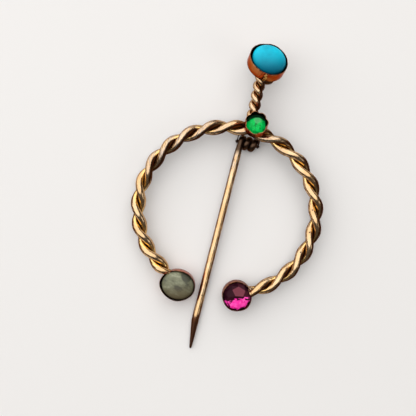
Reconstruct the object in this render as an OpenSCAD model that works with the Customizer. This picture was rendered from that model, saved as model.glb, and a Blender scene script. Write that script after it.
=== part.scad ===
// Penannular brooch: an open ring of two twisted wires with a stone at each end,
// a short twisted stem with two more stones, and a long pin hinged behind the ring.
// The brooch lies face up on z = 0, with +Y from the open end to the stem.
// Places are given from the ring's centre; from_ring() then puts the middle of the length at the origin.

/* [Ring] */
// Half of the ring's longer width, to the middle of the wires
ring_a = 16.87; // [14:0.01:20]
// Half of the ring's shorter width, to the middle of the wires
ring_b = 15.87; // [13:0.01:19]
// Turn of the ring's longer width from the X axis, in degrees
ring_lean = 8.8; // [0:0.1:20]
// Height of the ring's middle at the two open ends
ring_low = 2.3; // [2:0.1:3]
// Height of the ring's middle at the hinge
ring_high = 3.4; // [3.2:0.1:4]
// Radius of each wire of the ring
ring_wire_r = 0.72; // [0.6:0.01:0.9]
// Length of half a turn of the ring's twist, at the hinge
ring_half_turn = 4.47; // [3.5:0.01:6]
// How much tighter the twist gets with each millimetre to the left
ring_tightening = 0.00015; // [0:0.00001:0.0005]
// How far the twist runs ahead on the ring's right side, in degrees
ring_slip = 20; // [0:1:40]

/* [Stem] */
// Radius of each wire of the stem
stem_wire_r = 0.57; // [0.4:0.01:0.65]
// Length of half a turn of the stem's twist
stem_half_turn = 1.83; // [1.5:0.01:2.5]
// Lean of the stem to the left of the ring's middle line, in degrees
stem_lean = 2.9; // [0:0.1:5]
// Distance from the ring's centre to the stem's outer end
stem_end = 28.4; // [26:0.1:30]

/* [Settings] */
// Thickness of the thin sheet walls
wall = 0.24; // [0.2:0.01:0.4]
// Gap between each stone and its wall
seat_gap = 0.08; // [0.05:0.01:0.2]
// Length of the oval setting at the stem's end
turquoise_l = 7.3; // [6:0.1:8]
// Width of the oval setting at the stem's end
turquoise_w = 5.75; // [5:0.05:7]
// Height of the wall of the setting at the stem's end
turquoise_h = 3.5; // [2.5:0.1:4]
// Diameter of the round setting over the hinge
green_d = 4.35; // [4:0.05:5]
// Height of the wall of the setting over the hinge
green_h = 2.6; // [2:0.1:3]
// Length of the oval setting at the ring's left end
grey_l = 6.62; // [5.5:0.01:7]
// Width of the oval setting at the ring's left end
grey_w = 5.75; // [5:0.05:6.5]
// Diameter of the round setting at the ring's right end
purple_d = 5.65; // [5:0.05:6.2]
// Height of the walls of the two settings at the ring's ends
end_h = 3.5; // [3:0.1:4]

/* [Pin and hinge] */
// Radius of the pin's straight shank
shank_r = 0.69; // [0.5:0.01:0.8]
// Distance from the ring's centre to the pin's point
pin_reach = 27.5; // [22:0.1:30]
// Length of the tapered point
taper_l = 5.4; // [4:0.1:10]
// Radius at the very end of the point
point_r = 0.22; // [0.15:0.01:0.4]
// Turn of the shank from the stem's line, in degrees
shank_turn = 0.72; // [0:0.01:2]
// Bend of the point from the shank's line, in degrees
point_bend = 4.5; // [0:0.1:8]
// Radius of the wire in the pin's coil
coil_wire_r = 0.52; // [0.4:0.01:0.55]
// Radius of the hinge rod
rod_r = 0.3; // [0.2:0.01:0.4]
// Play between the hinge rod and what turns on it
hinge_play = 0.05; // [0.02:0.01:0.1]
// Distance from the ring's centre to the hinge rod
hinge_y = 13.5; // [13:0.05:13.6]

/* [Hidden] */

gold = [0.80, 0.62, 0.32];
dark_metal = [0.16, 0.11, 0.08];

// Polar angles where the ring's two ends run into the walls of their settings
end_angle_right = -59.8;
end_angle_left = 242.6;
// Polar angle where the two wires stand one over the other, behind the round setting
twist_zero_angle = 89;
// Length of wire to the right of the hinge over which the twist runs ahead and falls back
slip_run = 31;
// Distance from the ring's centre where the stem's two wires lie side by side
stem_flat_y = 20.63;
// Where the stem starts: off the ring's middle line, and inside the ring
stem_foot_x = 0.17;
stem_foot_in = 0.4;
// How far each twisted wire reaches over the middle line
wire_overlap = 0.02;
// Fineness of the twists: degrees between rings of points, rings in half a turn, points on each wire
ring_step = 2.0;
ring_steps = round((end_angle_left - end_angle_right) / ring_step);
ring_sides = 8;
stem_steps = 7;
stem_sides = 7;
// Fineness of round blocks and of slim rounds
block_fn = 96;
round_fn = 48;

// Centres of the settings, seen from above
turquoise_at = [-0.06, 28.0];
green_at = [1.06, 16.65];
grey_at = [-5.35, -16.04];
purple_at = [6.04, -15.13];
// Heights of the two upper settings' backs, and their leans and turns in degrees
turquoise_base_z = 4.7;
turquoise_lean = 10;
turquoise_lean_to = 72;
turquoise_turn = -12;
green_base_z = 4.55;
green_lean = 8;
green_lean_to = 15;
grey_turn = -2;
// Thickness of the settings' backs
floor_t = 0.4;
// Height of the cuts that clear the settings, more than any wall
cut_h = 40;
// Distance from the ring's centre to the middle of the whole length
middle_y = 1.96;

// The ring's plane rises a little from the open ends to the hinge.
low_y = -15;
high_y = 16;
function plane_z(y) = ring_low + (y - low_y) * (ring_high - ring_low) / (high_y - low_y);
plane_tilt = atan((ring_high - ring_low) / (high_y - low_y));
plane_up = [0, -sin(plane_tilt), cos(plane_tilt)];

// The ring's middle line: an ellipse in polar form, laid on the tilted plane.
function ring_radius(t) =
    ring_a * ring_b / norm([ring_b * cos(t - ring_lean), ring_a * sin(t - ring_lean)]);
function on_plane(x, y) = [x, y, plane_z(y)];
function ring_point(t) = on_plane(ring_radius(t) * cos(t), ring_radius(t) * sin(t));

// Length run along a list of points, up to each of them.
function run_lengths(line) =
    [for (i = 0, run = 0; i < len(line); run = run + (i + 1 < len(line) ? norm(line[i + 1] - line[i]) : 0), i = i + 1) run];

function unit(v) = v / norm(v);

// Outline of two round wires side by side, where each is cut a little slantwise.
function two_wires(r, slant, n) =
    let (off = r - wire_overlap, open = acos(-off / r))
    [for (side = [1, -1])
        for (i = [0 : n - 1])
            let (a = -open + 2 * open * i / n)
            [side * (off + r * cos(a)), side * slant * r * sin(a)]];

// A closed solid through a list of rings, each with the same number of points.
// The rings run anticlockwise, seen from the last ring; others are given as turned.
module skin(rings, turned = false) {
    n = len(rings[0]);
    m = len(rings);
    points = [for (ring = rings) for (j = [0 : n - 1]) ring[turned ? n - 1 - j : j]];
    sides = [for (i = [0 : m - 2])
        for (j = [0 : n - 1])
            let (a = i * n + j, b = i * n + (j + 1) % n, c = a + n, d = b + n)
            each [[a, c, b], [b, c, d]]];
    first = [for (j = [0 : n - 1]) j];
    last = [for (j = [0 : n - 1]) m * n - 1 - j];
    polyhedron(points = points, faces = concat(sides, [first], [last]));
}

// The two wires, carried along a line of points and turned about it.
module twisted_wires(line, turns, outline) {
    last = len(line) - 1;
    skin([for (i = [0 : last])
        let (
            along = unit(line[min(i + 1, last)] - line[max(i - 1, 0)]),
            out = unit(cross(along, plane_up)),
            up = cross(out, along)
        )
        [for (p = outline)
            line[i]
                + out * (p.x * cos(turns[i]) - p.y * sin(turns[i]))
                + up * (p.x * sin(turns[i]) + p.y * cos(turns[i]))]], turned = true);
}

// How far the twist is ahead at a distance along the ring's wires from the hinge.
function slip(run) =
    run > 0 || run < -slip_run ? 0 : ring_slip * pow(sin(180 * run / slip_run), 2);

module ring_wires() {
    line = [for (i = [0 : ring_steps])
        ring_point(end_angle_right + i * (end_angle_left - end_angle_right) / ring_steps)];
    runs = run_lengths(line);
    zero = round((twist_zero_angle - end_angle_right) / (end_angle_left - end_angle_right) * ring_steps);
    lay = atan(PI * ring_wire_r / ring_half_turn);
    twisted_wires(
        line,
        [for (r = runs)
            let (run = r - runs[zero])
            90 + 180 * run * (1 / ring_half_turn + ring_tightening * run) + slip(run)],
        two_wires(ring_wire_r, 1 / cos(lay), ring_sides));
}

module stem_wires() {
    start_y = ring_radius(90) - stem_foot_in;
    steps = round((stem_end - start_y) / stem_half_turn * stem_steps);
    line = [for (i = [0 : steps])
        let (y = start_y + (stem_end - start_y) * i / steps)
        on_plane(stem_foot_x - (y - start_y) * tan(stem_lean), y)];
    lay = atan(PI * stem_wire_r / stem_half_turn);
    twisted_wires(
        line,
        [for (p = line) 180 * (p.y - stem_flat_y) / stem_half_turn],
        two_wires(stem_wire_r, 1 / cos(lay), stem_sides));
}

// Outline of an oval with round flanks.
function oval(l, w, n = 40) =
    [for (i = [0 : n - 1]) [l / 2 * cos(360 * i / n), w / 2 * sin(360 * i / n)]];

module oval_block(l, w, h, z = 0) {
    translate([0, 0, z])
        linear_extrude(height = h)
            polygon(oval(l, w));
}

module round_block(d, h, z = 0) {
    translate([0, 0, z])
        cylinder(d = d, h = h, $fn = block_fn);
}

// Moves what is laid out from the ring's centre so that the middle of the length is the origin.
module from_ring() {
    translate([0, -middle_y, 0])
        children();
}

// Where each setting stands.
module at_turquoise() {
    translate([turquoise_at.x, turquoise_at.y, turquoise_base_z])
        rotate([0, 0, turquoise_lean_to])
            rotate([0, turquoise_lean, 0])
                rotate([0, 0, turquoise_turn - turquoise_lean_to])
                    children();
}

module at_green() {
    translate([green_at.x, green_at.y, green_base_z])
        rotate([0, 0, green_lean_to])
            rotate([-green_lean, 0, 0])
                rotate([0, 0, -green_lean_to])
                    children();
}

module at_grey() {
    translate([grey_at.x, grey_at.y, 0])
        rotate([0, 0, grey_turn])
            children();
}

module at_purple() {
    translate([purple_at.x, purple_at.y, 0])
        children();
}

// The hinge rod's line runs across the ring, low enough for the pin's coil to lie on z = 0.
coil_mid_r = rod_r + hinge_play + coil_wire_r;
hinge_z = coil_mid_r + coil_wire_r;
// The coil's three front bars, from the cut end to the one that runs into the shank
first_bar_x = 1.70;
shank_x = -0.855;
turns_between = 2;
// Degrees that the coil's cut end runs past the first bar
lead_in = 60;
// The tabs that carry the hinge rod: thickness, width, length, rise in degrees, and the room round the rod
lug_t = 0.32;
lug_w = 1.05;
lug_l = 2.9;
lug_rise = 34;
lug_fit = 0.03;
left_lug_x = -1.76;
right_lug_x = 2.6;
// How far the rod stands out past each tab
rod_over = 0.04;
// Solder between the stem's end and the oval setting: off its centre, base height, radii and height
cup_off = [0.15, -0.4];
cup_z = 3.1;
cup_r1 = 1.2;
cup_r2 = 2.3;
cup_h = 1.9;
// Solder between the ring and the round setting: the same
seat_off = [-0.3, -0.4];
seat_z = 3.6;
seat_r1 = 1.3;
seat_r2 = 1.7;
seat_h = 1.1;
// The pin: length of its neck, room under its point, and its overlap into the coil's end
neck_l = 3;
point_clear = 0.24;
neck_in = 0.2;
neck_inset = 0.01;
// Domed stones: girdle's share of the width at the back, where the dome stops in degrees, and each dome
back_share = 0.94;
dome_to = 84;
turquoise_under = 0.9;
turquoise_dome = 1.7;
grey_under = 0.75;
grey_dome = 1.25;
// Cut stones: share of the width at the cut-off point, and how the crown's middle ring lies
culet_share = 0.3;
crown_out = 0.62;
crown_wide = [0.97, 1.04];
crown_high = [0.6, 0.5];
// Cut stones: table, crown, girdle and pavilion, and sides
green_cut = [2.0, 0.35, 0.12, 0.75];
purple_cut = [2.5, 0.7, 0.2, 1.9];
cut_sides = 8;

module across(x) {
    translate([x, hinge_y, hinge_z])
        rotate([0, 90, 0])
            children();
}

// A flat tab that carries one end of the hinge rod and runs up to the ring's back.
module lug(x) {
    difference() {
        union() {
            across(x)
                cylinder(d = lug_w, h = lug_t, $fn = round_fn);
            translate([x, hinge_y, hinge_z])
                rotate([lug_rise, 0, 0])
                    translate([0, 0, -lug_w / 2])
                        cube([lug_t, lug_l, lug_w]);
        }
        across(x - lug_t)
            cylinder(r = rod_r + lug_fit, h = 3 * lug_t, $fn = round_fn);
    }
}

// A small solder cup that joins the stem's end to the oval setting's back.
module solder_cup() {
    translate([turquoise_at.x + cup_off.x, turquoise_at.y + cup_off.y, cup_z])
        cylinder(r1 = cup_r1, r2 = cup_r2, h = cup_h, $fn = block_fn);
}

// A collar of solder between the ring and the round setting's back.
module solder_seat() {
    translate([green_at.x + seat_off.x, green_at.y + seat_off.y, seat_z])
        cylinder(r1 = seat_r1, r2 = seat_r2, h = seat_h, $fn = block_fn);
}

// The soldered metal is one solid: ring, stem, four settings and two lugs.
module twisted_frame() {
    color(gold)
        difference() {
            union() {
                ring_wires();
                stem_wires();
                solder_cup();
                solder_seat();
                lug(left_lug_x);
                lug(right_lug_x);
                at_turquoise() oval_block(turquoise_l, turquoise_w, turquoise_h);
                at_green() round_block(green_d, green_h);
                at_grey() oval_block(grey_l, grey_w, end_h);
                at_purple() round_block(purple_d, end_h);
            }
            at_turquoise() oval_block(turquoise_l - 2 * wall, turquoise_w - 2 * wall, cut_h, floor_t);
            at_green() round_block(green_d - 2 * wall, cut_h, floor_t);
            at_grey() oval_block(grey_l - 2 * wall, grey_w - 2 * wall, cut_h, floor_t);
            at_purple() round_block(purple_d - 2 * wall, cut_h, floor_t);
        }
}

module hinge_rod() {
    color(dark_metal)
        across(left_lug_x - rod_over)
            cylinder(r = rod_r, h = right_lug_x - left_lug_x + lug_t + 2 * rod_over, $fn = round_fn);
}

// The shank slopes down from the top of the coil until the start of its point touches z = 0.
shank_start_z = hinge_z + coil_mid_r;
shank_slope = atan((shank_start_z - point_r - point_clear) / (hinge_y + pin_reach));
shank_l = (hinge_y + pin_reach) / cos(shank_slope) / cos(shank_turn) - taper_l - point_r;

module along_shank(from) {
    translate([shank_x, hinge_y, shank_start_z])
        rotate([0, 0, shank_turn])
            rotate([90 + shank_slope, 0, 0])
                translate([0, 0, from])
                    children();
}

// The coil: the wire winds about the hinge rod and leaves it from the front.
module pin_coil() {
    sides = 10;
    per_turn = 16;
    whole = lead_in + 360 * turns_between;
    steps = round(whole / 360 * per_turn);
    rise = (first_bar_x - shank_x) / turns_between;
    skin([for (i = [0 : steps])
        let (
            a = -lead_in + whole * i / steps,
            centre = [first_bar_x - rise * a / 360, hinge_y - coil_mid_r * sin(a), hinge_z + coil_mid_r * cos(a)],
            out = [0, -sin(a), cos(a)]
        )
        [for (j = [0 : sides - 1])
            let (b = 360 * j / sides)
            centre + coil_wire_r * (out * cos(b) + [sin(b), 0, 0])]], turned = true);
}

module brooch_pin() {
    neck_r = coil_wire_r - neck_inset;
    color(gold) {
        pin_coil();
        along_shank(0)
            rotate_extrude($fn = round_fn)
                polygon([
                    [0, -neck_in],
                    [neck_r, -neck_in],
                    [shank_r, neck_l],
                    [shank_r, shank_l],
                    [0, shank_l],
                ]);
        along_shank(shank_l)
            sphere(r = shank_r, $fn = round_fn);
        along_shank(shank_l)
            rotate([0, point_bend, 0]) {
                cylinder(r1 = shank_r, r2 = point_r, h = taper_l, $fn = round_fn);
                translate([0, 0, taper_l])
                    sphere(r = point_r, $fn = round_fn);
            }
    }
}

// A domed stone: a straight girdle, then quarter waves in to a small flat crown.
module cabochon(l, w, girdle_h, dome_h) {
    n = 32;
    rows = 6;
    skin(concat(
        [[for (p = oval(l * back_share, w * back_share, n)) [p.x, p.y, 0]]],
        [for (i = [0 : rows])
            let (a = dome_to * i / rows, z = girdle_h + dome_h * sin(a) / sin(dome_to))
            [for (p = oval(l * cos(a), w * cos(a), n)) [p.x, p.y, z]]]));
}

// A cut stone: table, crown facets to a round girdle, and a pavilion cut short at its point.
module cut_stone(d, table_d, crown_h, girdle_h, pavilion_h) {
    n = cut_sides;
    function level(dia, z) =
        [for (i = [0 : 2 * n - 1])
            let (a = 180 * i / n)
            [dia / 2 * cos(a), dia / 2 * sin(a), z]];
    crown_r = (d * crown_out + table_d * (1 - crown_out)) / 2;
    girdle_z = pavilion_h + girdle_h;
    skin([
        level(culet_share * d, 0),
        level(d, pavilion_h),
        level(d, girdle_z),
        [for (i = [0 : 2 * n - 1])
            let (a = 180 * i / n, r = crown_r * crown_wide[i % 2])
            [r * cos(a), r * sin(a), girdle_z + crown_h * crown_high[i % 2]]],
        [for (i = [0 : 2 * n - 1])
            let (a = 360 / n * floor((i + 1) / 2))
            [table_d / 2 * cos(a), table_d / 2 * sin(a), girdle_z + crown_h]]]);
}

module turquoise_cabochon() {
    color([0.10, 0.66, 0.78])
        at_turquoise()
            translate([0, 0, floor_t + seat_gap])
                cabochon(
                    turquoise_l - 2 * wall - 2 * seat_gap,
                    turquoise_w - 2 * wall - 2 * seat_gap,
                    turquoise_h - floor_t - turquoise_under,
                    turquoise_dome);
}

module green_paste() {
    color([0.05, 0.70, 0.33])
        at_green()
            translate([0, 0, floor_t + seat_gap])
                cut_stone(green_d - 2 * wall - 2 * seat_gap, green_cut[0], green_cut[1], green_cut[2], green_cut[3]);
}

module grey_cabochon() {
    color([0.47, 0.51, 0.43])
        at_grey()
            translate([0, 0, floor_t + seat_gap])
                cabochon(
                    grey_l - 2 * wall - 2 * seat_gap,
                    grey_w - 2 * wall - 2 * seat_gap,
                    end_h - floor_t - grey_under,
                    grey_dome);
}

module purple_paste() {
    color([0.55, 0.10, 0.35])
        at_purple()
            translate([0, 0, floor_t + seat_gap])
                cut_stone(purple_d - 2 * wall - 2 * seat_gap, purple_cut[0], purple_cut[1], purple_cut[2], purple_cut[3]);
}

from_ring() twisted_frame();
from_ring() hinge_rod();
from_ring() brooch_pin();
from_ring() turquoise_cabochon();
from_ring() green_paste();
from_ring() grey_cabochon();
from_ring() purple_paste();
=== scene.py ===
"""Dresses a penannular brooch: twisted gilt wires, four settings with their stones, and a long hinged pin."""

import math
from types import SimpleNamespace

import bpy
import numpy as np
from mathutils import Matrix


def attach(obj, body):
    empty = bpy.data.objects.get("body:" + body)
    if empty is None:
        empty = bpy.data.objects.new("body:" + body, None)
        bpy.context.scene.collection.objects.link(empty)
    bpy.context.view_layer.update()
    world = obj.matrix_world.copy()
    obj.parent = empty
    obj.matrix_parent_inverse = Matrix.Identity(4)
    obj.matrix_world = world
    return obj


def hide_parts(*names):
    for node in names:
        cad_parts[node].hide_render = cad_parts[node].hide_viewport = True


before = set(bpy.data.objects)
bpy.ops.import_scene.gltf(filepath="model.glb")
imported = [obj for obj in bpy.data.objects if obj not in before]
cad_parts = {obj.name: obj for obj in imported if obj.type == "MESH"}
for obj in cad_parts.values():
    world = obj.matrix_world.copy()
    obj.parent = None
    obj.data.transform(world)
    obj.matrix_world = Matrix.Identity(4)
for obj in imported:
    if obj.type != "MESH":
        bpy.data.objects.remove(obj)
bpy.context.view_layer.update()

bl_info = {
    "name": "Penannular Brooch",
    "version": (1, 0, 0),
    "blender": (4, 5, 0),
    "location": "View3D > Sidebar > Brooch",
    "description": "Builds the wires, settings, stones and pin of a penannular brooch",
    "category": "Object",
}

MM = 0.001

# The ring's middle line, in millimetres from its centre: an ellipse on a plane that rises to the hinge.
RING_A = 16.87
RING_B = 15.87
RING_LEAN = 8.8
LOW_Y, LOW_Z = -15.0, 2.3
HIGH_Y, HIGH_Z = 16.0, 3.4

# How far the middle of the brooch's length lies from the ring's centre, towards the stem.
MIDDLE_Y = 1.96

# The ring's ends, in degrees, and its twist. One wire lies over the other at TWIST_ZERO. A half turn takes
# HALF_TURN there and less towards the left end. Over SLIP_RUN of the right side it is off by up to SLIP.
END_RIGHT, END_LEFT = -59.0, 241.9
TWIST_ZERO = 88.6
HALF_TURN = 4.47
TIGHTENING = 0.00015
SLIP, SLIP_RUN = 20.0, 31.0

# How deep a twist's two wires are pressed into each other, and how far from an end they are beaten thinner.
PRESSED = 0.015
BEATEN_L = 1.8

# The stem's middle line and twist.
STEM_FOOT = (0.17, 15.48)
STEM_END_Y = 28.3
STEM_LEAN = 2.9
STEM_HALF_TURN = 1.83
STEM_FLAT_Y = 20.63

# The hinge's rod between its two lugs.
HINGE_Y, HINGE_Z = 13.5, 1.39
ROD_R = 0.3
ROD_ENDS = (-1.55, 2.60)
LEFT_LUG_X, RIGHT_LUG_X = -1.66, 2.49

# The pin's wire: a coil about the rod, a neck, a straight shank, and a taper to the tip.
COIL_R = 0.87
FIRST_BAR_X, SHANK_X = 1.70, -0.855
LEAD_IN = 60.0
COIL_TURNS = 2
SHANK_TURN = 0.72
PIN_REACH = 27.5
NECK_L, TAPER_L = 3.0, 5.4
COIL_WIRE_R, NECK_R, SHANK_R, TIP_R = 0.52, 0.67, 0.69, 0.21
TIP_Z, TIP_ROUND = 0.46, 0.22
POINT_BEND = 4.5

# A setting's back, the round at its foot, and its wall's thickness at the rim. The stones start a little
# above the back, and the cut ones have an upright girdle.
BACK, FOOT_ROUND, RIM = 0.4, 0.12, 0.11
STONE_BASE = 0.48
GIRDLE = 0.15

# The camera looks straight down from here, in metres, and its picture is turned by VIEW_TURN degrees.
CAMERA_AT = (-0.003598, -0.000374 - MIDDLE_Y * MM, 0.120)
VIEW_TURN = 15

# Where four pinholes stand in the wires at the ring's right side, in metres from the brooch's middle.
PINHOLES = ((0.015471, 0.002385), (0.01605, -0.00182), (0.015459, -0.005889), (0.013705, -0.009702))

# The side of the metal that is painted dark as shade, away from the key light: towards the right and a little
# down.
SHADED_WAY = np.array([0.95, -0.25, -0.2])

# In metres from the brooch's middle: the middles of the grey stone's painted rim shadow, of the green glass's
# milky patch and lit part, and of the purple glass's lit part.
RIM_SHADOW = (-0.0040, -0.0158, 0.0038)
MILKY_PATCH = (0.00098, 0.01575, 0.0061)
LIT_GREEN = (0.00107, 0.01438, 0.0061)
LIT_PURPLE = (0.00604, -0.01709, 0.003)


def wave(x, seed, counts, height):
    """A smooth random wave with period 1: a sum of sines of the given counts, each with a seeded phase."""
    phases = np.random.default_rng(seed).uniform(0, 2 * np.pi, len(counts))
    return height / len(counts) * sum(np.sin(2 * np.pi * c * x + p) for c, p in zip(counts, phases))


def smooth_step(x, low, high):
    """0 below low, 1 above high, and 3t^2 - 2t^3 between them."""
    t = np.clip((x - low) / (high - low), 0, 1)
    return t * t * (3 - 2 * t)


def unit(v):
    """Each row divided by its length."""
    return v / np.linalg.norm(v, axis=-1, keepdims=True)


def add_object(name, data):
    """An object in the scene that holds the given mesh, light or camera."""
    made = bpy.data.objects.new(name, data)
    bpy.context.scene.collection.objects.link(made)
    return made


def seated(points):
    """From millimetres about the ring's centre to metres about the middle of the brooch's length."""
    return (points - np.array([0, MIDDLE_Y, 0])) * MM


def lay_surface(name, points, run=None, values=None):
    """A closed mesh through a grid of loops. Each point is joined to its neighbours in its own loop and in
    the next one, the first and last loops are closed by a fan to their middle, and faces are turned to give a
    positive volume. Its lengthwise map has `run` along the loops and 0 to 1 round them, and its points hold
    the given values."""
    points = seated(points)
    m, n, _ = points.shape
    middles = points[[0, -1]].mean(axis=1)
    verts = np.vstack([points.reshape(-1, 3), middles])
    i, j = np.meshgrid(np.arange(m - 1), np.arange(n), indexing="ij")
    k = (j + 1) % n
    quads = np.stack([i * n + j, i * n + k, (i + 1) * n + k, (i + 1) * n + j], -1).reshape(-1, 4)
    loop = np.arange(n)
    after = (loop + 1) % n
    first = np.stack([after, loop, np.full(n, m * n)], -1)
    last = np.stack([(m - 1) * n + loop, (m - 1) * n + after, np.full(n, m * n + 1)], -1)
    fans = np.vstack([first, last])
    u = np.arange(m) / 100 if run is None else run
    across = np.stack([j, j + 1, j + 1, j], -1).reshape(-1, 4) / n
    along = np.stack([u[i], u[i], u[i + 1], u[i + 1]], -1).reshape(-1, 4)
    fan_across = np.vstack([np.stack([loop + 1, loop, loop], -1), np.stack([loop, loop + 1, loop], -1)]) / n
    fan_along = np.repeat([[u[0]] * 3, [u[-1]] * 3], n, axis=0)
    a, b, c, d = verts[quads.T]
    volume = np.einsum("ij,ij->", a, np.cross(b, c)) + np.einsum("ij,ij->", a, np.cross(c, d))
    e, f, g = verts[fans.T]
    if volume + np.einsum("ij,ij->", e, np.cross(f, g)) < 0:
        quads, fans = quads[:, ::-1], fans[:, ::-1]
        across, along = across[:, ::-1], along[:, ::-1]
        fan_across, fan_along = fan_across[:, ::-1], fan_along[:, ::-1]
    mesh = bpy.data.meshes.new(name)
    mesh.from_pydata(verts.tolist(), [], quads.tolist() + fans.tolist())
    uv = np.stack([np.append(along, fan_along), np.append(across, fan_across)], -1)
    mesh.uv_layers.new(name="along").data.foreach_set("uv", uv.ravel())
    for key, value in (values or {}).items():
        grid = np.broadcast_to(value, (m, n))
        ends = grid[[0, -1]].mean(axis=1)
        layer = mesh.attributes.new(key, "FLOAT", "POINT")
        layer.data.foreach_set("value", np.append(grid.ravel(), ends).astype(np.float32))
    mesh.shade_smooth()
    mesh.update()
    return add_object(name, mesh)


def place(piece, body, solid, mat):
    """Gives a piece its body and its material, and hides the solid that it stands for."""
    piece.data.materials.clear()
    piece.data.materials.append(mat)
    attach(piece, body)
    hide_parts(solid)


def ring_plane_z(y):
    """Height of the ring's plane: a straight slope through its low and its high end."""
    return LOW_Z + (y - LOW_Y) * (HIGH_Z - LOW_Z) / (HIGH_Y - LOW_Y)


def ring_line(degrees):
    """Points of the ring's middle line: an ellipse in polar form with radius ab / |(b cos t, a sin t)|."""
    t = np.radians(degrees)
    s = t - math.radians(RING_LEAN)
    r = RING_A * RING_B / np.hypot(RING_B * np.cos(s), RING_A * np.sin(s))
    x, y = r * np.cos(t), r * np.sin(t)
    return np.stack([x, y, ring_plane_z(y)], -1)


def run_length(line):
    """Distance along a line of points, from its first point."""
    steps = np.linalg.norm(np.diff(line, axis=0), axis=1)
    return np.concatenate([[0], np.cumsum(steps)])


def plane_up():
    """The direction that stands straight up from the ring's plane."""
    return unit(np.array([0, -(HIGH_Z - LOW_Z) / (HIGH_Y - LOW_Y), 1.0]))


def tube(centres, toward, radius, sides, squash=1.0):
    """Loops of points round a path, and their angles p: centre + r (N cos p + B sin p), with N the part of
    `toward` square to the path and B square to both. `squash`, one number or one a loop, scales B."""
    along = unit(np.gradient(centres, axis=0))
    n = unit(toward - along * np.sum(toward * along, axis=1, keepdims=True))
    b = np.cross(along, n)
    p = 2 * np.pi * (np.arange(sides) + 0.5) / sides + np.pi
    r = np.asarray(radius)
    r = r[:, None] if r.ndim == 1 else r
    cos, sin = np.cos(p), np.sin(p) * np.reshape(squash, (-1, 1))
    way = n[:, None] * cos[None, :, None] + b[:, None] * sin[..., None]
    return centres[:, None] + r[..., None] * way, p


def strand(line, turns, wire_r, side, seed, thin_ends, sides=36):
    """One wire of a two-wire twist. Its centre stands nearly wire_r off the middle line, at angle `turns`
    about it. Its radius swells and shrinks a little, and thins to the given shares at its two ends, where it
    was beaten into its joint. Returned with the distance along it, and with how much each point faces away
    from the other wire and which way it faces."""
    along = unit(np.gradient(line, axis=0))
    out = unit(np.cross(along, plane_up()))
    up = np.cross(out, along)
    run = run_length(line)
    first, last = thin_ends
    thin = first + (1 - first) * smooth_step(run, 0, BEATEN_L)
    thin = thin * (last + (1 - last) * smooth_step(run[-1] - run, 0, BEATEN_L))
    angle = np.radians(turns)[:, None]
    away = side * (out * np.cos(angle) + up * np.sin(angle))
    centres = line + away * ((wire_r - PRESSED) * thin)[:, None]
    x = run / run[-1]
    steady = 1 + wave(x, seed, (11, 23, 37, 61), 0.03)
    loops, p = tube(centres, away, wire_r * thin * steady, sides)
    outward = np.broadcast_to(np.cos(p), loops.shape[:2])
    dents = wave(x[:, None] + 0.02 * np.sin(p), seed + 1, (83, 131, 197), 0.012)
    loops = loops + (loops - centres[:, None]) * dents[..., None]
    facing = (loops - centres[:, None]) / (wire_r * thin)[:, None, None]
    return loops, run, outward, facing


def painted_shade(facing, strength=1.0):
    """Painted shade: light on the slopes, full underneath, and `strength` on the sides that face away from
    the key light.
    """
    down = -facing[..., 2]
    under = np.maximum(0.5 * smooth_step(down, -0.75, -0.3), smooth_step(down, -0.5, 0.15))
    return np.maximum(under, strength * smooth_step(facing @ SHADED_WAY, -0.05, 0.4))


def metal_wear_and_shade(outward, facing, wear, crevice, strength=1.0):
    """What the gilt reads at each point: wear, the groove between the wires from `crevice` on, and painted
    shade underneath.
    """
    return {"wear": wear, "groove": smooth_step(-outward, crevice, 0.95), "under": painted_shade(facing, strength)}


def feed(tree, socket, value):
    """Links a socket to another one, or gives it a plain value."""
    if isinstance(value, bpy.types.NodeSocket):
        tree.links.new(value, socket)
    else:
        socket.default_value = value


def node(tree, kind, **settings):
    """A shader node with the given properties, and with its inputs fed by name."""
    made = tree.nodes.new("ShaderNode" + kind)
    for key, value in settings.items():
        if hasattr(made, key):
            setattr(made, key, value)
        else:
            feed(tree, made.inputs[key], value)
    return made


def mapped(tree, where, degrees=0.0, stretch=(1.0, 1.0, 1.0)):
    """A place stretched by the given factors and then turned about Z."""
    turn = (0, 0, math.radians(degrees))
    return node(tree, "Mapping", Vector=where, Rotation=turn, Scale=stretch).outputs["Vector"]


def coordinates(tree, stretch=None):
    """Object coordinates, or the piece's own lengthwise map stretched by the given factors."""
    if stretch is None:
        return node(tree, "TexCoord").outputs["Object"]
    return mapped(tree, node(tree, "UVMap", uv_map="along").outputs["UV"], 0.0, stretch)


def noise(tree, where, scale, detail=3.0, rough=0.55):
    """A noise pattern's factor."""
    return node(tree, "TexNoise", Vector=where, Scale=scale, Detail=detail, Roughness=rough).outputs["Fac"]


def cells(tree, where, scale):
    """A pattern of cells, as the distance from each cell's middle and a random colour for the cell."""
    made = node(tree, "TexVoronoi", Vector=where, Scale=scale)
    return made.outputs["Distance"], made.outputs["Color"]


def parts(tree, vector):
    """The X, Y and Z of a vector, or the red, green and blue of a colour."""
    return tuple(node(tree, "SeparateXYZ", Vector=vector).outputs)


def fade(tree, value, low, high, to_low=0.0, to_high=1.0):
    """The value's place between low and high, smoothed, and spread over the new limits."""
    limits = {"From Min": low, "From Max": high, "To Min": to_low, "To Max": to_high}
    made = node(tree, "MapRange", interpolation_type="SMOOTHSTEP", Value=value, **limits)
    return made.outputs["Result"]


def combine(tree, how, a, b, kind="Math"):
    """Two values, or a value and a number, put together by a sum, product, largest or other rule."""
    made = node(tree, kind, operation=how)
    for socket, value in zip(made.inputs, (a, b)):
        feed(tree, socket, value)
    return made.outputs["Value"]


def plus(tree, value, extra, share):
    """A value plus the given share of another."""
    return combine(tree, "ADD", value, combine(tree, "MULTIPLY", extra, share))


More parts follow.
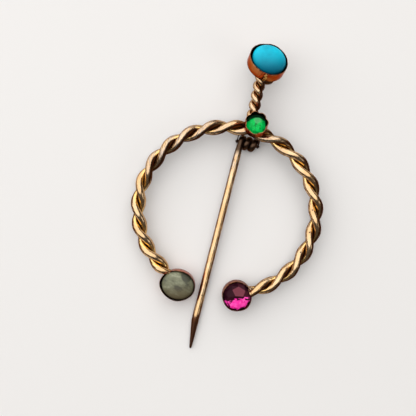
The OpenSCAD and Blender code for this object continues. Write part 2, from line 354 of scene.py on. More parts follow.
def blend(tree, factor, low, high):
    """The colour low where the factor is 0 and high where it is 1; each is a colour or a socket."""
    made = node(tree, "Mix", data_type="RGBA", Factor=factor)
    sockets = [s for s in made.inputs if s.type == "RGBA"]
    for socket, colour in zip(sockets, (low, high)):
        feed(tree, socket, colour if isinstance(colour, bpy.types.NodeSocket) else (*colour, 1.0))
    return next(s for s in made.outputs if s.type == "RGBA")


def attribute(tree, name):
    """A number that the mesh holds at each point."""
    return node(tree, "Attribute", attribute_name=name).outputs["Fac"]


def distance(tree, here, point):
    """How far a place is from a point."""
    return combine(tree, "DISTANCE", here, point, "VectorMath")


def picture_height(tree, here, lean=0.0):
    """How high a place stands in the camera's picture, plus `lean` times how far right it stands."""
    right, up, _ = parts(tree, mapped(tree, here, -VIEW_TURN))
    return plus(tree, up, right, lean)


def bumped(tree, shader, height, depth, strength):
    """Lets a height pattern turn the shader's normal."""
    made = node(tree, "Bump", Height=height, Distance=depth, Strength=strength)
    tree.links.new(made.outputs["Normal"], shader.inputs["Normal"])


def new_material(name, **sockets):
    """A material whose main shader has the given plain values."""
    mat = bpy.data.materials.new(name)
    mat.use_nodes = True
    shader = mat.node_tree.nodes["Principled BSDF"]
    for key, value in sockets.items():
        shader.inputs[key.replace("_", " ").title().replace("Ior", "IOR")].default_value = value
    return mat, mat.node_tree, shader


def foil_glow(tree, shader, colour):
    """Colours a glass and makes it glow a little in that colour: painted light for what its foil sends back
    out.
    """
    tree.links.new(colour, shader.inputs["Base Color"])
    tree.links.new(colour, shader.inputs["Emission Color"])
    shader.inputs["Emission Strength"].default_value = 0.35


def worn_gilt(name, shades, streak=(50.0, 18.0, 1.0), sheen=(0.66, 0.38, 0.2)):
    """Old gilding: amber in the grooves, a painted reflection between the wires, and a brown line at their
    bottom, painted crease shade. Brown underneath and on the side away from the light as painted shade,
    and where else the mesh darkens it; grey bare metal where wear meets streaks along the wire, with sooty
    lines there; black where the mesh asks, partly painted shade; and fine scratches, pits and pinholes.
    `streak` stretches the streaks, and `sheen` tints what shines at low angles."""
    mat, tree, shader = new_material(name, Metallic=1.0, Specular_Tint=(*sheen, 1.0))
    here = coordinates(tree)
    broad = noise(tree, here, 380.0, 2.0)
    fine = noise(tree, here, 2600.0, 4.0, 0.65)
    streaks = noise(tree, coordinates(tree, streak), 1.0, 4.0, 0.6)
    groove, under, black, wear = (attribute(tree, key) for key in ("groove", "under", "black", "wear"))
    clean = blend(tree, fade(tree, broad, 0.35, 0.7), shades.gold, shades.pale_gold)
    # Painted reflection: amber where the wires face each other, for light that bounces between them.
    clean = blend(tree, fade(tree, groove, 0.05, 0.6), clean, shades.groove_reflection)
    rubbed = combine(tree, "MULTIPLY", wear, fade(tree, streaks, 0.4, 0.62))
    worn = blend(tree, rubbed, clean, shades.bare_metal)
    # Painted shade: a brown line at the bottom of the grooves, and brown underneath and away from the light.
    crevice = fade(tree, groove, 0.8, 1.0)
    ragged = combine(tree, "ADD", under, fade(tree, streaks, 0.3, 0.7, -0.3, 0.3))
    soiled_and_shaded = combine(tree, "MAXIMUM", crevice, fade(tree, ragged, 0.15, 0.7))
    aged = blend(tree, soiled_and_shaded, worn, shades.tarnish_and_shade)
    from_middle, _ = cells(tree, here, 420.0)
    pits = fade(tree, from_middle, 0.07, 0.045)
    flat = mapped(tree, here, 0.0, (1.0, 1.0, 0.0))
    for x, y in PINHOLES:
        hole = fade(tree, distance(tree, flat, (x, y, 0)), 0.00018, 0.00011)
        pits = combine(tree, "MAXIMUM", pits, hole)
    lines = fade(tree, noise(tree, coordinates(tree, (90.0, 42.0, 1.0)), 1.0), 0.54, 0.62, 0.0, 0.9)
    lines = combine(tree, "MULTIPLY", lines, wear)
    soot_and_shade = combine(tree, "MAXIMUM", combine(tree, "MULTIPLY", pits, 0.85), lines)
    # Black where the mesh asks for it, partly painted shade on far sides and inside the settings.
    soot_and_shade = combine(tree, "MAXIMUM", soot_and_shade, black)
    tree.links.new(blend(tree, soot_and_shade, aged, shades.blackened_and_shade), shader.inputs["Base Color"])
    dull = plus(tree, fade(tree, fine, 0.35, 0.75, 0.15, 0.25), rubbed, 0.12)
    dull = plus(tree, plus(tree, dull, soiled_and_shaded, 0.14), black, 0.12)
    tree.links.new(dull, shader.inputs["Roughness"])
    height = plus(tree, combine(tree, "MULTIPLY", streaks, 0.8), fine, 0.25)
    bumped(tree, shader, combine(tree, "SUBTRACT", height, pits), 0.00004, 0.45)
    return mat


def dark_metal(name, shades):
    """Tarnish that is nearly black, dull, and rubbed a little lighter in spots."""
    mat, tree, shader = new_material(name, Metallic=1.0)
    here = coordinates(tree)
    spots = noise(tree, here, 1500.0, 4.0)
    body = blend(tree, fade(tree, spots, 0.45, 0.8), shades.blackened_and_shade, shades.tarnish_and_shade)
    tree.links.new(body, shader.inputs["Base Color"])
    tree.links.new(fade(tree, spots, 0.3, 0.7, 0.5, 0.28), shader.inputs["Roughness"])
    bumped(tree, shader, noise(tree, here, 4200.0), 0.00003, 0.5)
    return mat


def turquoise_stone(name, shades):
    """Polished opaque blue, deeper in soft clouds, painted deeper as shade towards the ring, with a few faint
    pits.
    """
    mat, tree, shader = new_material(name, Roughness=0.5, Specular_IOR_Level=0.18)
    here = coordinates(tree)
    clouds = noise(tree, here, 260.0)
    cloudy = fade(tree, clouds, 0.4, 0.8, 0.0, 0.5)
    body = blend(tree, cloudy, shades.turquoise, shades.deep_turquoise)
    # Painted shade: the stone is painted deeper blue lower in the picture, towards the ring.
    shaded_lower = fade(tree, picture_height(tree, here), 0.0280, 0.0228)
    body = blend(tree, shaded_lower, body, shades.deep_turquoise)
    pits = fade(tree, noise(tree, here, 1400.0, 2.0), 0.74, 0.8, 0.0, 0.6)
    tree.links.new(blend(tree, pits, body, shades.deep_turquoise), shader.inputs["Base Color"])
    bumped(tree, shader, noise(tree, here, 700.0), 0.00004, 0.25)
    return mat


def grey_stone(name, shades):
    """Mottled grey green with slanting pale streaks, dark patches and fine grain, a painted shadow of the rim
    in its upper part, and olive brown lower down."""
    mat, tree, shader = new_material(name, Roughness=0.42, Specular_IOR_Level=0.35)
    here = coordinates(tree)
    patches = noise(tree, mapped(tree, here, 32.0, (1.0, 1.8, 1.0)), 270.0, 6.0, 0.62)
    grain = noise(tree, here, 2600.0)
    body = blend(tree, fade(tree, patches, 0.36, 0.5), shades.dark_grey_stone, shades.grey_stone)
    body = blend(tree, fade(tree, patches, 0.5, 0.64), body, shades.pale_grey_stone)
    body = blend(tree, fade(tree, grain, 0.6, 0.8, 0.0, 0.5), body, shades.dark_grey_stone)
    # Painted shadow of the rim: a ragged dark patch in the stone's upper part.
    ragged = plus(tree, distance(tree, here, RIM_SHADOW), patches, 0.0016)
    body = blend(tree, fade(tree, ragged, 0.0021, 0.0018, 0.0, 0.95), body, shades.dark_grey_stone)
    low = fade(tree, picture_height(tree, here), -0.0148, -0.0188, 0.0, 0.85)
    tree.links.new(blend(tree, low, body, shades.olive), shader.inputs["Base Color"])
    bumped(tree, shader, combine(tree, "ADD", patches, grain), 0.00003, 0.3)
    return mat


def green_glass(name, shades):
    """Vivid green glass over foil, with bubbles, dark flecks and a milky patch by the stem. Round its lit
    part, a ragged crescent lies in the wall's shade."""
    mat, tree, shader = new_material(name, Roughness=0.2, Specular_IOR_Level=0.1, Ior=1.5)
    here = coordinates(tree)
    swirl = noise(tree, here, 1100.0, 5.0, 0.65)
    from_middle, _ = cells(tree, here, 1900.0)
    body = blend(tree, fade(tree, swirl, 0.35, 0.62), shades.deep_green, shades.green)
    bubbles = fade(tree, from_middle, 0.2, 0.08, 0.0, 0.6)
    body = blend(tree, bubbles, body, shades.pale_green)
    flecks = fade(tree, noise(tree, here, 1700.0, 2.0), 0.58, 0.63, 0.0, 0.6)
    body = blend(tree, flecks, body, shades.shade_green)
    patch = plus(tree, distance(tree, here, MILKY_PATCH), swirl, 0.0016)
    body = blend(tree, fade(tree, patch, 0.0017, 0.0013, 0.0, 0.55), body, shades.milky_green)
    edge = plus(tree, distance(tree, here, LIT_GREEN), swirl, 0.0014)
    body = blend(tree, fade(tree, edge, 0.00232, 0.00262), body, shades.shade_green)
    foil_glow(tree, shader, body)
    bumped(tree, shader, combine(tree, "ADD", swirl, bubbles), 0.00012, 0.6)
    return mat


def purple_glass(name, shades):
    """Purple glass over foil: aubergine, a mauve table, and a ragged bright pink crescent towards the open
    end, where the light that enters by the stem's side comes back out."""
    mat, tree, shader = new_material(name, Roughness=0.1, Specular_IOR_Level=0.05, Ior=1.52)
    here = coordinates(tree)
    _, shard = cells(tree, here, 1900.0)
    red, green, blue = parts(tree, shard)
    facet = attribute(tree, "facet")
    line = plus(tree, plus(tree, picture_height(tree, here, -0.2), red, 0.0011), facet, 0.0006)
    edge = plus(tree, distance(tree, here, LIT_PURPLE), blue, 0.0007)
    pink = combine(tree, "MULTIPLY", fade(tree, line, -0.0181, -0.01835), fade(tree, edge, 0.00285, 0.0027))
    bright = blend(tree, green, shades.pink, shades.pale_pink)
    dark = blend(tree, fade(tree, facet, 0.5, 1.0, 0.0, 0.22), shades.aubergine, shades.mauve)
    dark = blend(tree, attribute(tree, "table"), dark, shades.mauve)
    foil_glow(tree, shader, blend(tree, pink, dark, bright))
    return mat


def bell(t, middle, wide):
    """A bell curve on a rim of length 1: exp(-(d / wide)^2), with d the shorter way round from its middle."""
    return np.exp(-np.square(((t - middle + 0.5) % 1 - 0.5) / wide))


def nicks(t, seed, count, depth):
    """Small dips at seeded places of a rim: the sum of narrow bell curves."""
    rng = np.random.default_rng(seed)
    at = rng.uniform(0, 1, count)
    deep = rng.uniform(0.4, 1, count) * depth
    wide = rng.uniform(0.006, 0.016, count)
    return -np.sum(deep * bell(t[:, None], at, wide), axis=1)


def setting_shell(outer, height, wall, rim_wave, push):
    """A thin-walled setting with a closed back. Its outline has the half sizes `outer`, its rim stands at
    height plus rim_wave, and the wall leans in by `push` times the square of the height's share. Loops run
    from the middle of the back up the outside, over the half-round rim and down the inside to the back's
    upper face."""
    sides = len(rim_wave)
    a = 2 * np.pi * np.arange(sides) / sides
    top = height + rim_wave - RIM / 2
    rows = [(part, FOOT_ROUND, 0.0) for part in (0.02, 0.5, 1.0)]
    for c in np.radians(np.linspace(22, 90, 4)):
        rows.append((1.0, FOOT_ROUND * (1 - math.sin(c)), FOOT_ROUND * (1 - math.cos(c))))
    rise = np.linspace(0, 1, 20)
    for share in rise[1:]:
        rows.append((1.0, 0.0, FOOT_ROUND + (top - FOOT_ROUND) * share))
    for c in np.radians(np.linspace(30, 150, 5)):
        rows.append((1.0, RIM / 2 * (1 - math.cos(c)), top + RIM / 2 * math.sin(c)))
    for share in rise[::-1]:
        rows.append((1.0, wall + (RIM - wall) * share ** 2, BACK + (top - BACK) * share))
    rows += [(part, wall, BACK) for part in (0.5, 0.02)]
    loops = np.empty((len(rows), sides, 3))
    for row, (part, inset, z) in zip(loops, rows):
        lean = push * np.square(z / height)
        row[:, 0] = part * (outer[0] - inset - lean) * np.cos(a)
        row[:, 1] = part * (outer[1] - inset - lean) * np.sin(a)
        row[:, 2] = z
    return loops


def turned(points, degrees, axis):
    """Points turned about the X (0), Y (1) or Z (2) axis by the right-hand rule."""
    c, s = math.cos(math.radians(degrees)), math.sin(math.radians(degrees))
    i, j = (axis + 1) % 3, (axis + 2) % 3
    out = points.copy()
    out[..., i] = c * points[..., i] - s * points[..., j]
    out[..., j] = s * points[..., i] + c * points[..., j]
    return out


def seat(turns, at):
    """A function that turns points by degrees about the given axes, in order, and moves them to a place."""

    def seat_points(points):
        for degrees, axis in turns:
            points = turned(points, degrees, axis)
        return points + np.array(at)

    return seat_points


# The seats of the settings. The oval at the stem's end and the round one over the hinge lean outwards.
at_turquoise = seat(((-84, 2), (10, 1), (72, 2)), (-0.06, 28.0, 4.7))
at_green = seat(((-15, 2), (-8, 0), (15, 2)), (1.06, 16.65, 4.55))
at_grey = seat(((-2, 2),), (-5.35, -16.04, 0))
at_purple = seat((), (6.04, -15.13, 0))


def dome(half, girdle, top, n=96, rows=28):
    """A polished domed stone: an upright side, then half sizes that follow cos(a)^0.85 and height sin(a)."""
    t = 2 * np.pi * np.arange(n) / n
    side = [(0.90, STONE_BASE), (0.97, STONE_BASE + 0.06), (1.0, STONE_BASE + 0.16), (1.0, girdle)]
    a = np.radians(np.linspace(0, 89, rows))[1:]
    profile = side + list(zip(np.cos(a) ** 0.85, girdle + (top - girdle) * np.sin(a)))
    scale, z = np.array(profile).T
    scale = scale[:, None]
    return np.stack([scale * half[0] * np.cos(t), scale * half[1] * np.sin(t), z[:, None] + 0 * t], -1)


def cut_stone(name, place_at, r, table_r, crown_h, girdle_z, table_off=(0.0, 0.0), n=8, first=0.2):
    """A round cut stone: an n-sided table, n star facets and 4n more down to the girdle, an upright girdle of
    2n facets, and 3n long facets down to a small base. The table may stand off the middle, and the corners
    between it and the girdle go half as far. `table_r` is one radius, or the half sizes of an oval for the
    table's corners, the first of which stands at the angle `first`."""
    half = math.pi / n
    k = np.arange(n)
    table = np.ones(2) * table_r
    mid_r = 0.52 * (r + table.mean())
    mid_h = crown_h * (r - mid_r * math.cos(half)) / (r - table.mean())
    main = 2 * half * k + first

    def level(radius, z, angle, off=0.0):
        x, y = (np.ones(2) * radius)[:, None] * [np.cos(angle), np.sin(angle)]
        return np.stack([x + off * table_off[0], y + off * table_off[1], np.full(len(angle), z)], -1)

    verts = np.vstack([
        level(table, girdle_z + crown_h, main, 1.0),
        level(mid_r, girdle_z + mid_h, main + half, 0.5),
        level(r, girdle_z, main),
        level(r, girdle_z, main + half),
        level(r, girdle_z - GIRDLE, main),
        level(r, girdle_z - GIRDLE, main + half),
        level(0.3 * r, STONE_BASE, main),
    ])
    table, mid, g0, g1, d0, d1, low = (k + n * q for q in range(7))
    on = lambda ring: np.roll(ring, -1)
    back = lambda ring: np.roll(ring, 1)
    faces = [table.tolist()]
    for corners in (
        (table, mid, on(table)), (table, back(mid), g0), (table, g0, mid), (mid, g0, g1), (mid, g1, on(g0)),
        (g0, d0, d1, g1), (g1, d1, on(d0), on(g0)), (d0, low, d1), (d1, low, on(low)), (d1, on(low), on(d0)),
    ):
        faces += np.stack(corners, -1).tolist()
    faces += [low[::-1].tolist()]
    mesh = bpy.data.meshes.new(name)
    mesh.from_pydata(seated(place_at(verts)).tolist(), [], faces)
    is_table = np.arange(len(faces)) == 0
    random_facet = np.random.default_rng(61).uniform(0, 1, len(faces))
    for key, values in (("table", is_table), ("facet", random_facet)):
        layer = mesh.attributes.new(key, "FLOAT", "FACE")
        layer.data.foreach_set("value", values.astype(np.float32))
    mesh.update()
    return add_object(name, mesh)


def lump(middle, half, seed, turn=0.0, rows=24, n=32):
    """A lump of solder: a ball with the given half sizes, turned about Z and uneven by up to 12 percent."""
    a = np.linspace(0.05, math.pi - 0.05, rows)[:, None]
    t = np.arange(n) / n
    r = 1 + wave(t + 0.1 * a, seed, (2, 3, 5), 0.12) * np.sin(a)
    ball = np.stack([
        r * np.sin(a) * np.cos(2 * np.pi * t),
        r * np.sin(a) * np.sin(2 * np.pi * t),
        r * np.cos(a) + 0 * t,
    ], -1)
    return turned(ball * np.array(half), turn, 2) + np.array(middle)


def wall_seam(half, angle, height):
    """The solder line where a wall's two ends meet: a flat lens, 0.5 mm wide at the foot and 0.3 mm at the
    top, carried up the outside of an oval with the given half sizes, and a little wavy."""
    z = np.linspace(0.15, height, 24)
    p = 2 * np.pi * np.arange(16) / 16
    a = math.radians(angle) + wave(z / height, 9, (1, 2, 3), 0.05)
    foot = np.stack([half[0] * np.cos(a), half[1] * np.sin(a)], -1)
    out = unit(np.stack([half[1] * np.cos(a), half[0] * np.sin(a)], -1))
    across = np.stack([-out[:, 1], out[:, 0]], -1)
    wide = 0.16 + 0.08 * (1 - z / height)
    flat = foot[:, None] + across[:, None] * (wide[:, None] * np.cos(p))[..., None]
    flat = flat + out[:, None] * (0.07 * np.sin(p))[None, :, None]
    return np.concatenate([flat, np.broadcast_to(z[:, None, None], (len(z), 16, 1))], -1)


def pin_path():
    """Centre line of the pin's wire, with the distance from the coil's end and the radius along it: a helix
    about the hinge rod, a straight shank that slopes down to the surface, and a point bent a little to one
    side. Corners are eased by a short running mean."""
    last = 360 * COIL_TURNS
    a = np.radians(np.linspace(-LEAD_IN, last, int((LEAD_IN + last) / 3)))
    rise = (FIRST_BAR_X - SHANK_X) / COIL_TURNS
    x = FIRST_BAR_X - rise * a / (2 * np.pi)
    coil = np.stack([x, HINGE_Y - COIL_R * np.sin(a), HINGE_Z + COIL_R * np.cos(a)], -1)
    drop = HINGE_Z + COIL_R - TIP_Z
    slope = math.atan(drop / (HINGE_Y + PIN_REACH))
    turn = math.radians(SHANK_TURN)
    way = np.array([math.cos(slope) * math.sin(turn), -math.cos(slope) * math.cos(turn), -math.sin(slope)])
    length = (HINGE_Y + PIN_REACH) / math.cos(slope) / math.cos(turn) - TAPER_L - TIP_ROUND
    bend = math.radians(POINT_BEND)
    side = np.array([math.cos(turn), math.sin(turn), 0])
    tip_way = way * math.cos(bend) + side * math.sin(bend)
    step = 0.12
    shank = coil[-1] + way * np.arange(step, length, step)[:, None]
    point = coil[-1] + way * length + tip_way * np.arange(0, TAPER_L + 0.01, step)[:, None]
    path = np.vstack([coil, shank, point])
    wide = 7
    kernel = np.ones(wide) / wide
    padded = np.pad(path, ((wide // 2, wide // 2), (0, 0)), mode="edge")
    eased = np.stack([np.convolve(column, kernel, "valid") for column in padded.T], -1)
    inside = slice(len(coil) - wide + 1, -wide)
    path[inside] = eased[inside]
    run = run_length(path) - run_length(coil)[-1]
    radius = np.interp(run, [0, NECK_L, length], [COIL_WIRE_R, NECK_R, SHANK_R])
    left = np.clip((length + TAPER_L - run) / TAPER_L, 0, 1)
    radius = np.minimum(radius, TIP_R + 0.5 * left ** 0.92)
    return path, run, radius


def rounded_ends(path, radius, run):
    """Adds a half-round cap of shrinking loops to both ends of a wire."""
    a = np.radians(np.linspace(8, 80, 7))
    first = unit(path[0] - path[1])
    last = unit(path[-1] - path[-2])
    head = path[0] + first * radius[0] * np.sin(a)[::-1, None]
    tail = path[-1] + last * radius[-1] * np.sin(a)[:, None]
    path = np.vstack([head, path, tail])
    radius = np.concatenate([radius[0] * np.cos(a)[::-1], radius, radius[-1] * np.cos(a)])
    run = np.concatenate([run[0] - np.sin(a)[::-1], run, run[-1] + np.sin(a)])
    return path, radius, run


def length_property(name, description, default):
    """A length in metres."""
    return bpy.props.FloatProperty(
        name=name, description=description, default=default, unit="LENGTH", precision=5)


def setting_property(stone, default):
    """The three sizes of a setting's wall."""
    return bpy.props.FloatVectorProperty(
        name=stone + " setting", description="Length, width and height of the wall", size=3, default=default,
        unit="LENGTH", precision=5)


class BroochSizes(bpy.types.PropertyGroup):
    """Sizes that a user would change."""

    ring_wire: length_property("Ring wire", "Radius of each wire of the ring", 0.00072)
    stem_wire: length_property("Stem wire", "Radius of each wire of the stem", 0.00057)
    wall: length_property("Wall", "Thickness of the settings' walls", 0.00024)
    turquoise: setting_property("Turquoise", (0.0073, 0.00575, 0.0035))
    green: setting_property("Green", (0.00435, 0.00435, 0.0026))
    grey: setting_property("Grey", (0.00662, 0.00575, 0.0035))
    purple: setting_property("Purple", (0.00565, 0.00565, 0.0035))


def swatch(name, description, default):
    """A colour swatch."""
    return bpy.props.FloatVectorProperty(
        name=name, description=description, subtype="COLOR", size=3, min=0, max=1, default=default)


class BroochColours(bpy.types.PropertyGroup):
    """Colours of the metals and stones."""

    gold: swatch("Gold", "Clean gilding", (0.66, 0.415, 0.205))
    pale_gold: swatch("Pale gold", "Gilding rubbed pale", (0.74, 0.52, 0.31))
    # Painted reflection: the amber stands for light bouncing between the wires in the grooves.
    groove_reflection: swatch("Amber gold", "Gilding that glows in the grooves", (0.92, 0.60, 0.22))
    bare_metal: swatch("Bare metal", "Grey metal where the gilding is gone", (0.52, 0.435, 0.365))
    # Also the painted shade in the grooves, underneath and on the side away from the light.
    tarnish_and_shade: swatch("Tarnish", "Brown soil in the grooves and underneath", (0.10, 0.036, 0.014))
    # Also the black painted shade on the far sides of the wires and inside the settings.
    blackened_and_shade: swatch("Blackened", "Nearly black coil and solder", (0.05, 0.027, 0.019))
    # Partly the walls' own coppery gold, partly a painted warm reflection that makes them redder and darker.
    copper_and_reflection: swatch("Coppery gold", "Walls of the settings", (0.37, 0.066, 0.033))
    pale_copper: swatch("Pale copper", "Walls rubbed pale", (0.47, 0.19, 0.075))
    turquoise: swatch("Turquoise", "Blue stone", (0.006, 0.64, 0.85))
    # Also the painted shade on the turquoise's lower side, towards the ring.
    deep_turquoise: swatch("Deep turquoise", "Deeper blue by the ring", (0.0, 0.14, 0.235))
    green: swatch("Green", "Green glass", (0.0, 0.47, 0.075))
    deep_green: swatch("Deep green", "Darker swirls in the green glass", (0.0, 0.33, 0.05))
    pale_green: swatch("Pale green", "Bubbles in the green glass", (0.02, 0.66, 0.20))
    milky_green: swatch("Milky green", "Worn patch by the stem", (0.11, 0.42, 0.17))
    shade_green: swatch("Shade green", "Shaded side of the green glass", (0.002, 0.02, 0.008))
    grey_stone: swatch("Grey stone", "Mottled stone", (0.185, 0.19, 0.115))
    pale_grey_stone: swatch("Pale grey stone", "Pale streaks", (0.36, 0.37, 0.25))
    # Also the painted shadow of the rim on the grey stone.
    dark_grey_stone: swatch("Dark grey stone", "Dark patches", (0.066, 0.068, 0.045))
    olive: swatch("Olive", "Brown side of the mottled stone", (0.12, 0.085, 0.04))
    aubergine: swatch("Aubergine", "Dark side of the purple glass", (0.018, 0.003, 0.007))
    mauve: swatch("Mauve", "Table of the purple glass", (0.15, 0.035, 0.05))
    pink: swatch("Pink", "Bright side of the purple glass", (0.75, 0.018, 0.28))
    pale_pink: swatch("Pale pink", "Brightest facets of the purple glass", (1.0, 0.09, 0.45))


def sizes():
    """The scene's sizes."""
    return bpy.context.scene.brooch_sizes


def colours():
    """The scene's colours."""
    return bpy.context.scene.brooch_colours


def gilt():
    """The worn gilt of the wires, with its painted shade and painted reflections, made once."""
    return bpy.data.materials.get("worn_gilt") or worn_gilt("worn_gilt", colours())


def ring_wear(degrees, outward):
    """Where the gilding is worn through: outer sides from 98 to 176 degrees, and by the round setting."""
    arc = smooth_step(degrees, 98, 116) * (1 - smooth_step(degrees, 158, 176))
    near_green = smooth_step(degrees, 58, 68) * (1 - smooth_step(degrees, 92, 100))
    return np.clip(1.1 * arc + 0.8 * near_green, 0, 1)[:, None] * np.clip(outward + 0.45, 0, 1)


def add_metal(name, points, run=None, values=None, mat=None, solid="twisted_frame", body="ring"):
    """Lays a metal surface, worn gilt with painted shade where no other material is given, and places it."""
    place(lay_surface(name, points, run, values), body, solid, mat or gilt())


class BROOCH_OT_ring(bpy.types.Operator):
    """Twists the ring's two wires and runs solder round their ends"""

    bl_idname = "brooch.ring"
    bl_label = "Ring"

    def execute(self, context):
        wire = sizes().ring_wire / MM
        degrees = np.linspace(END_RIGHT, END_LEFT, 900)
        line = ring_line(degrees)
        run = run_length(line)
        run = run - np.interp(TWIST_ZERO, degrees, run)
        slip = np.where((run < 0) & (run > -SLIP_RUN), SLIP * np.sin(np.pi * run / SLIP_RUN) ** 2, 0)
        turns = 90 + 180 * run * (1 / HALF_TURN + TIGHTENING * run) + slip
        cleaner = 0.6 * smooth_step(degrees, 165, 190)[:, None]
        arc = smooth_step(degrees, 96, 110) * (1 - smooth_step(degrees, 160, 178))
        arc = np.maximum(arc, 1 - smooth_step(degrees, 60, 90))
        for name, side, seed in (("ring_wire_a", 1, 3), ("ring_wire_b", -1, 7)):
            loops, along, outward, facing = strand(line, turns, wire, side, seed, thin_ends=(0.85, 0.68))
            wear = ring_wear(degrees, outward) * (1 - cleaner)
            values = metal_wear_and_shade(outward, facing, wear, -0.2 - cleaner, 1 - 1.5 * cleaner)
            # Painted shade: in the lower left, the sides that face left are painted brown.
            left_side_shade = 1.2 * cleaner * smooth_step(-facing[..., 0], 0.25, 0.75)
            values["under"] = np.maximum(values["under"] * (1 - cleaner), left_side_shade)
            # Painted shade: in the upper left arc and on the right side, the sides away from the light are
            # painted black.
            values["black"] = 0.6 * arc[:, None] * smooth_step(facing @ SHADED_WAY, 0.0, 0.5)
            add_metal(name, loops, along / 100, values)
        for name, angle, half, turn, high, blackness in (
            ("left_end_solder", 242.9, (0.75, 1.15, 0.8), 62, 0.05, 0.45),
            ("right_end_solder", -60.0, (1.0, 1.3, 0.85), -55, -0.4, 0.15),
        ):
            x, y, z = ring_line(np.array([angle]))[0]
            solder = lump((x, y, z + high), half, seed=41, turn=turn)
            add_metal(name, solder, None, {"wear": 0.7, "under": 0.25, "black": blackness})
        return {"FINISHED"}


def solder_cone(at, low, high, r1, r2, n=72, rows=16):
    """Solder drawn up between a wire and a setting's back: its radius goes from r1 to r2 as 1 - sqrt(1 - t^2)
    does from 0 to 1, and each loop is a little uneven."""
    t = np.linspace(0, 1, rows)
    a = 2 * np.pi * np.arange(n) / n
    r = r1 + (r2 - r1) * (1 - np.sqrt(1 - (0.98 * t) ** 2))
    r = np.concatenate([[0.55 * r1, 0.9 * r1], r])
    z = np.concatenate([[low - 0.12, low - 0.06], low + (high - low) * t])
    r = r[:, None] * (1 + wave(np.arange(n) / n, 5, (2, 3, 5), 0.05))
    return np.stack([at[0] + r * np.cos(a), at[1] + r * np.sin(a), np.broadcast_to(z[:, None], r.shape)], -1)


class BROOCH_OT_stem(bpy.types.Operator):
    """Twists the stem's two wires, adds the solder at both of its ends, and a dark lump of painted shade"""

    bl_idname = "brooch.stem"
    bl_label = "Stem"

    def execute(self, context):
        wire = sizes().stem_wire / MM
        y = np.linspace(STEM_FOOT[1], STEM_END_Y, 420)
        x = STEM_FOOT[0] - (y - STEM_FOOT[1]) * math.tan(math.radians(STEM_LEAN))
        line = np.stack([x, y, ring_plane_z(y)], -1)
        turns = 180 * (y - STEM_FLAT_Y) / STEM_HALF_TURN
        for name, side, seed in (("stem_wire_a", 1, 13), ("stem_wire_b", -1, 17)):
            loops, along, outward, facing = strand(line, turns, wire, side, seed, (1.0, 0.8), sides=28)
            values = metal_wear_and_shade(outward, facing, 0.4 * np.clip(outward, 0, 1), -0.3)
            # Painted shade: the sides away from the light are painted black.
            values["black"] = 0.6 * smooth_step(facing @ SHADED_WAY, 0.1, 0.6)
            add_metal(name, loops, along / 100, values)
        for name, at, low, high, r1, r2, blackness in (
            ("stem_solder", (0.09, 27.6), 3.1, 5.0, 1.15, 2.3, 0.6),
            ("green_solder", (0.76, 16.25), 3.6, 4.7, 1.25, 1.75, 0.5),
        ):
            values = {"wear": 0.2, "groove": 0.75, "under": 0.5, "black": blackness}
            add_metal(name, solder_cone(at, low, high, r1, r2), None, values)
        # Painted shade: a nearly black lump beside the stem where it goes in under the turquoise setting.
        shade_lump = lump((0.95, 25.45, 4.15), (1.25, 0.6, 0.75), seed=44, turn=22)
        add_metal("stem_wedge", shade_lump, None, {"wear": 0.1, "under": 0.6, "black": 0.75})
        return {"FINISHED"}


def wall_shades(base):
    """The wires' colours, with the settings' coppery gold, partly painted reflection, in place of the clean
    gilding.
    """
    return SimpleNamespace(
        gold=base.copper_and_reflection, pale_gold=base.pale_copper, groove_reflection=base.tarnish_and_shade, bare_metal=base.pale_gold,
        tarnish_and_shade=base.tarnish_and_shade, blackened_and_shade=base.blackened_and_shade)


